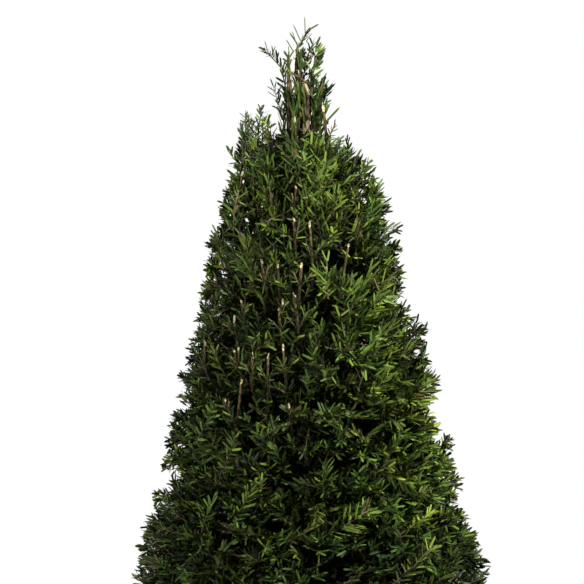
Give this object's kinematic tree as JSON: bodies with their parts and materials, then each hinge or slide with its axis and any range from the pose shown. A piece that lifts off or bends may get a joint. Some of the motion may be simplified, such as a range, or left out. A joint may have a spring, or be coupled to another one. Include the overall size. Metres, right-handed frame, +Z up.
{
  "type": "potted yew",
  "caption": "Clipped conical yew with short dark green needles on a single trunk, growing in a plain round tapered pot.",
  "frame": {"origin": "centre of the pot's flat underside, on the surface the pot stands on", "axes": "+Z up the trunk, +X to the right of the side shown, -Y towards that side's viewer"},
  "size_m": [0.561, 0.5642, 1.3821],
  "materials": {
    "pot": "fine matt moulded, charcoal",
    "soil": "loose bark-based compost",
    "bark": "flaking reddish-brown bark",
    "foliage": "satin needles, dark green with yellow-green tips"
  },
  "bodies": {
    "root": {"pot": "pot", "soil": "soil", "trunk": "bark", "leader": "bark", "bough_high_1": "bark", "bough_high_2": "bark", "bough_high_3": "bark", "bough_low_1": "bark", "bough_low_2": "bark", "bough_low_3": "bark", "bough_low_4": "bark", "bough_low_5": "bark", "bough_middle_1": "bark", "bough_middle_2": "bark", "bough_middle_3": "bark", "bough_middle_4": "bark", "bough_middle_5": "bark", "bough_shoulder_1": "bark", "bough_shoulder_2": "bark", "bough_shoulder_3": "bark", "bough_skirt_1": "bark", "bough_skirt_2": "bark", "bough_skirt_3": "bark", "bough_skirt_4": "bark", "bough_skirt_5": "bark", "bough_upper_1": "bark", "bough_upper_2": "bark", "bough_upper_3": "bark", "bough_upper_4": "bark", "mass_high_1": "foliage", "mass_high_2": "foliage", "mass_high_3": "foliage", "mass_low_1": "foliage", "mass_low_2": "foliage", "mass_low_3": "foliage", "mass_low_4": "foliage", "mass_low_5": "foliage", "mass_middle_1": "foliage", "mass_middle_2": "foliage", "mass_middle_3": "foliage", "mass_middle_4": "foliage", "mass_middle_5": "foliage", "mass_shoulder_1": "foliage", "mass_shoulder_2": "foliage", "mass_shoulder_3": "foliage", "mass_skirt_1": "foliage", "mass_skirt_2": "foliage", "mass_skirt_3": "foliage", "mass_skirt_4": "foliage", "mass_skirt_5": "foliage", "mass_spike_back": "foliage", "mass_spike_left": "foliage", "mass_spike_right": "foliage", "mass_spike_spray": "foliage", "mass_spike_tuft": "foliage", "mass_upper_1": "foliage", "mass_upper_2": "foliage", "mass_upper_3": "foliage", "mass_upper_4": "foliage"}
  },
  "joints": []
}
